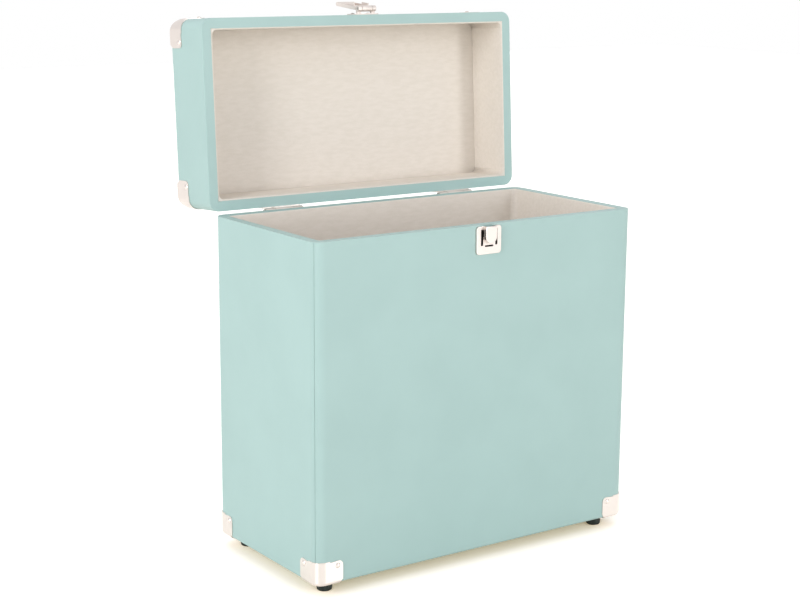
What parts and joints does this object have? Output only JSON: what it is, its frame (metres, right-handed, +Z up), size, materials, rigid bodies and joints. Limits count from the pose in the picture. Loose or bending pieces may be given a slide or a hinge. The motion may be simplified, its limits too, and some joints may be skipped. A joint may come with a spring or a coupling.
{
  "type": "record carrying case",
  "caption": "Upright hard case for vinyl records with a hinged lid, snap hasp, carry handle, metal corner irons and rubber feet.",
  "frame": {"origin": "on the floor, under the middle of the open case's bounding box", "axes": "+X to the right along the front, +Y to the back, +Z up; the lid stands open"},
  "size_m": [0.3572, 0.2728, 0.5038],
  "materials": {
    "board": "bare fibreboard, hidden under the covers and linings",
    "cover": "pale aqua leatherette with a fine grain, satin",
    "lining": "cream short-pile felt",
    "nickel": "nickel-plated sheet steel, polished",
    "steel": "plated steel, satin",
    "spring": "bare spring steel",
    "rubber": "black rubber, matt",
    "grip": "moulded grip covered in the same leatherette"
  },
  "bodies": {
    "base": {"base_back_board": "board", "base_back_lining": "lining", "base_bottom_board": "board", "base_bottom_lining": "lining", "base_corner_nails": "nickel", "base_front_board": "board", "base_front_lining": "lining", "base_iron_back_left": "nickel", "base_iron_back_right": "nickel", "base_iron_front_left": "nickel", "base_iron_front_right": "nickel", "base_left_board": "board", "base_left_cover": "cover", "base_left_lining": "lining", "base_right_board": "board", "base_right_cover": "cover", "base_right_lining": "lining", "base_wrap_cover": "cover", "foot_back_left": "rubber", "foot_back_right": "rubber", "foot_front_left": "rubber", "foot_front_right": "rubber", "foot_screws": "steel", "hinge_base_leaf_left": "nickel", "hinge_base_leaf_right": "nickel", "hinge_base_rivets": "nickel", "hinge_pin_left": "steel", "hinge_pin_right": "steel", "strike_plate": "nickel", "strike_spring": "spring"},
    "lid": {"handle_mount_left": "nickel", "handle_mount_right": "nickel", "handle_pivot_pins": "steel", "hasp_pin": "steel", "hasp_plate": "nickel", "hinge_lid_leaf_left": "nickel", "hinge_lid_leaf_right": "nickel", "lid_back_board": "board", "lid_back_lining": "lining", "lid_corner_nails": "nickel", "lid_front_board": "board", "lid_front_lining": "lining", "lid_iron_back_left": "nickel", "lid_iron_back_right": "nickel", "lid_iron_front_left": "nickel", "lid_iron_front_right": "nickel", "lid_left_board": "board", "lid_left_cover": "cover", "lid_left_lining": "lining", "lid_right_board": "board", "lid_right_cover": "cover", "lid_right_lining": "lining", "lid_rivets": "nickel", "lid_top_board": "board", "lid_top_lining": "lining", "lid_wrap_cover": "cover"},
    "hasp": {"hasp_lever": "nickel"},
    "handle": {"handle_end_left": "nickel", "handle_end_right": "nickel", "handle_grip": "grip"}
  },
  "joints": [
    {"name": "lid_hinge", "type": "hinge", "parent": "base", "child": "lid", "pos_m": [0, 0.04978, 0.313], "axis": [1, 0, 0], "range_deg": [0, 93.4]},
    {"name": "hasp_pivot", "type": "hinge", "parent": "lid", "child": "hasp", "pos_m": [0.004, 0.0668, 0.49832], "axis": [1, 0, 0], "range_deg": [0, 172]},
    {"name": "handle_pivot", "type": "hinge", "parent": "lid", "child": "handle", "pos_m": [0, 0.12792, 0.40062], "axis": [1, 0, 0], "range_deg": [-3.4, 176.6]}
  ]
}
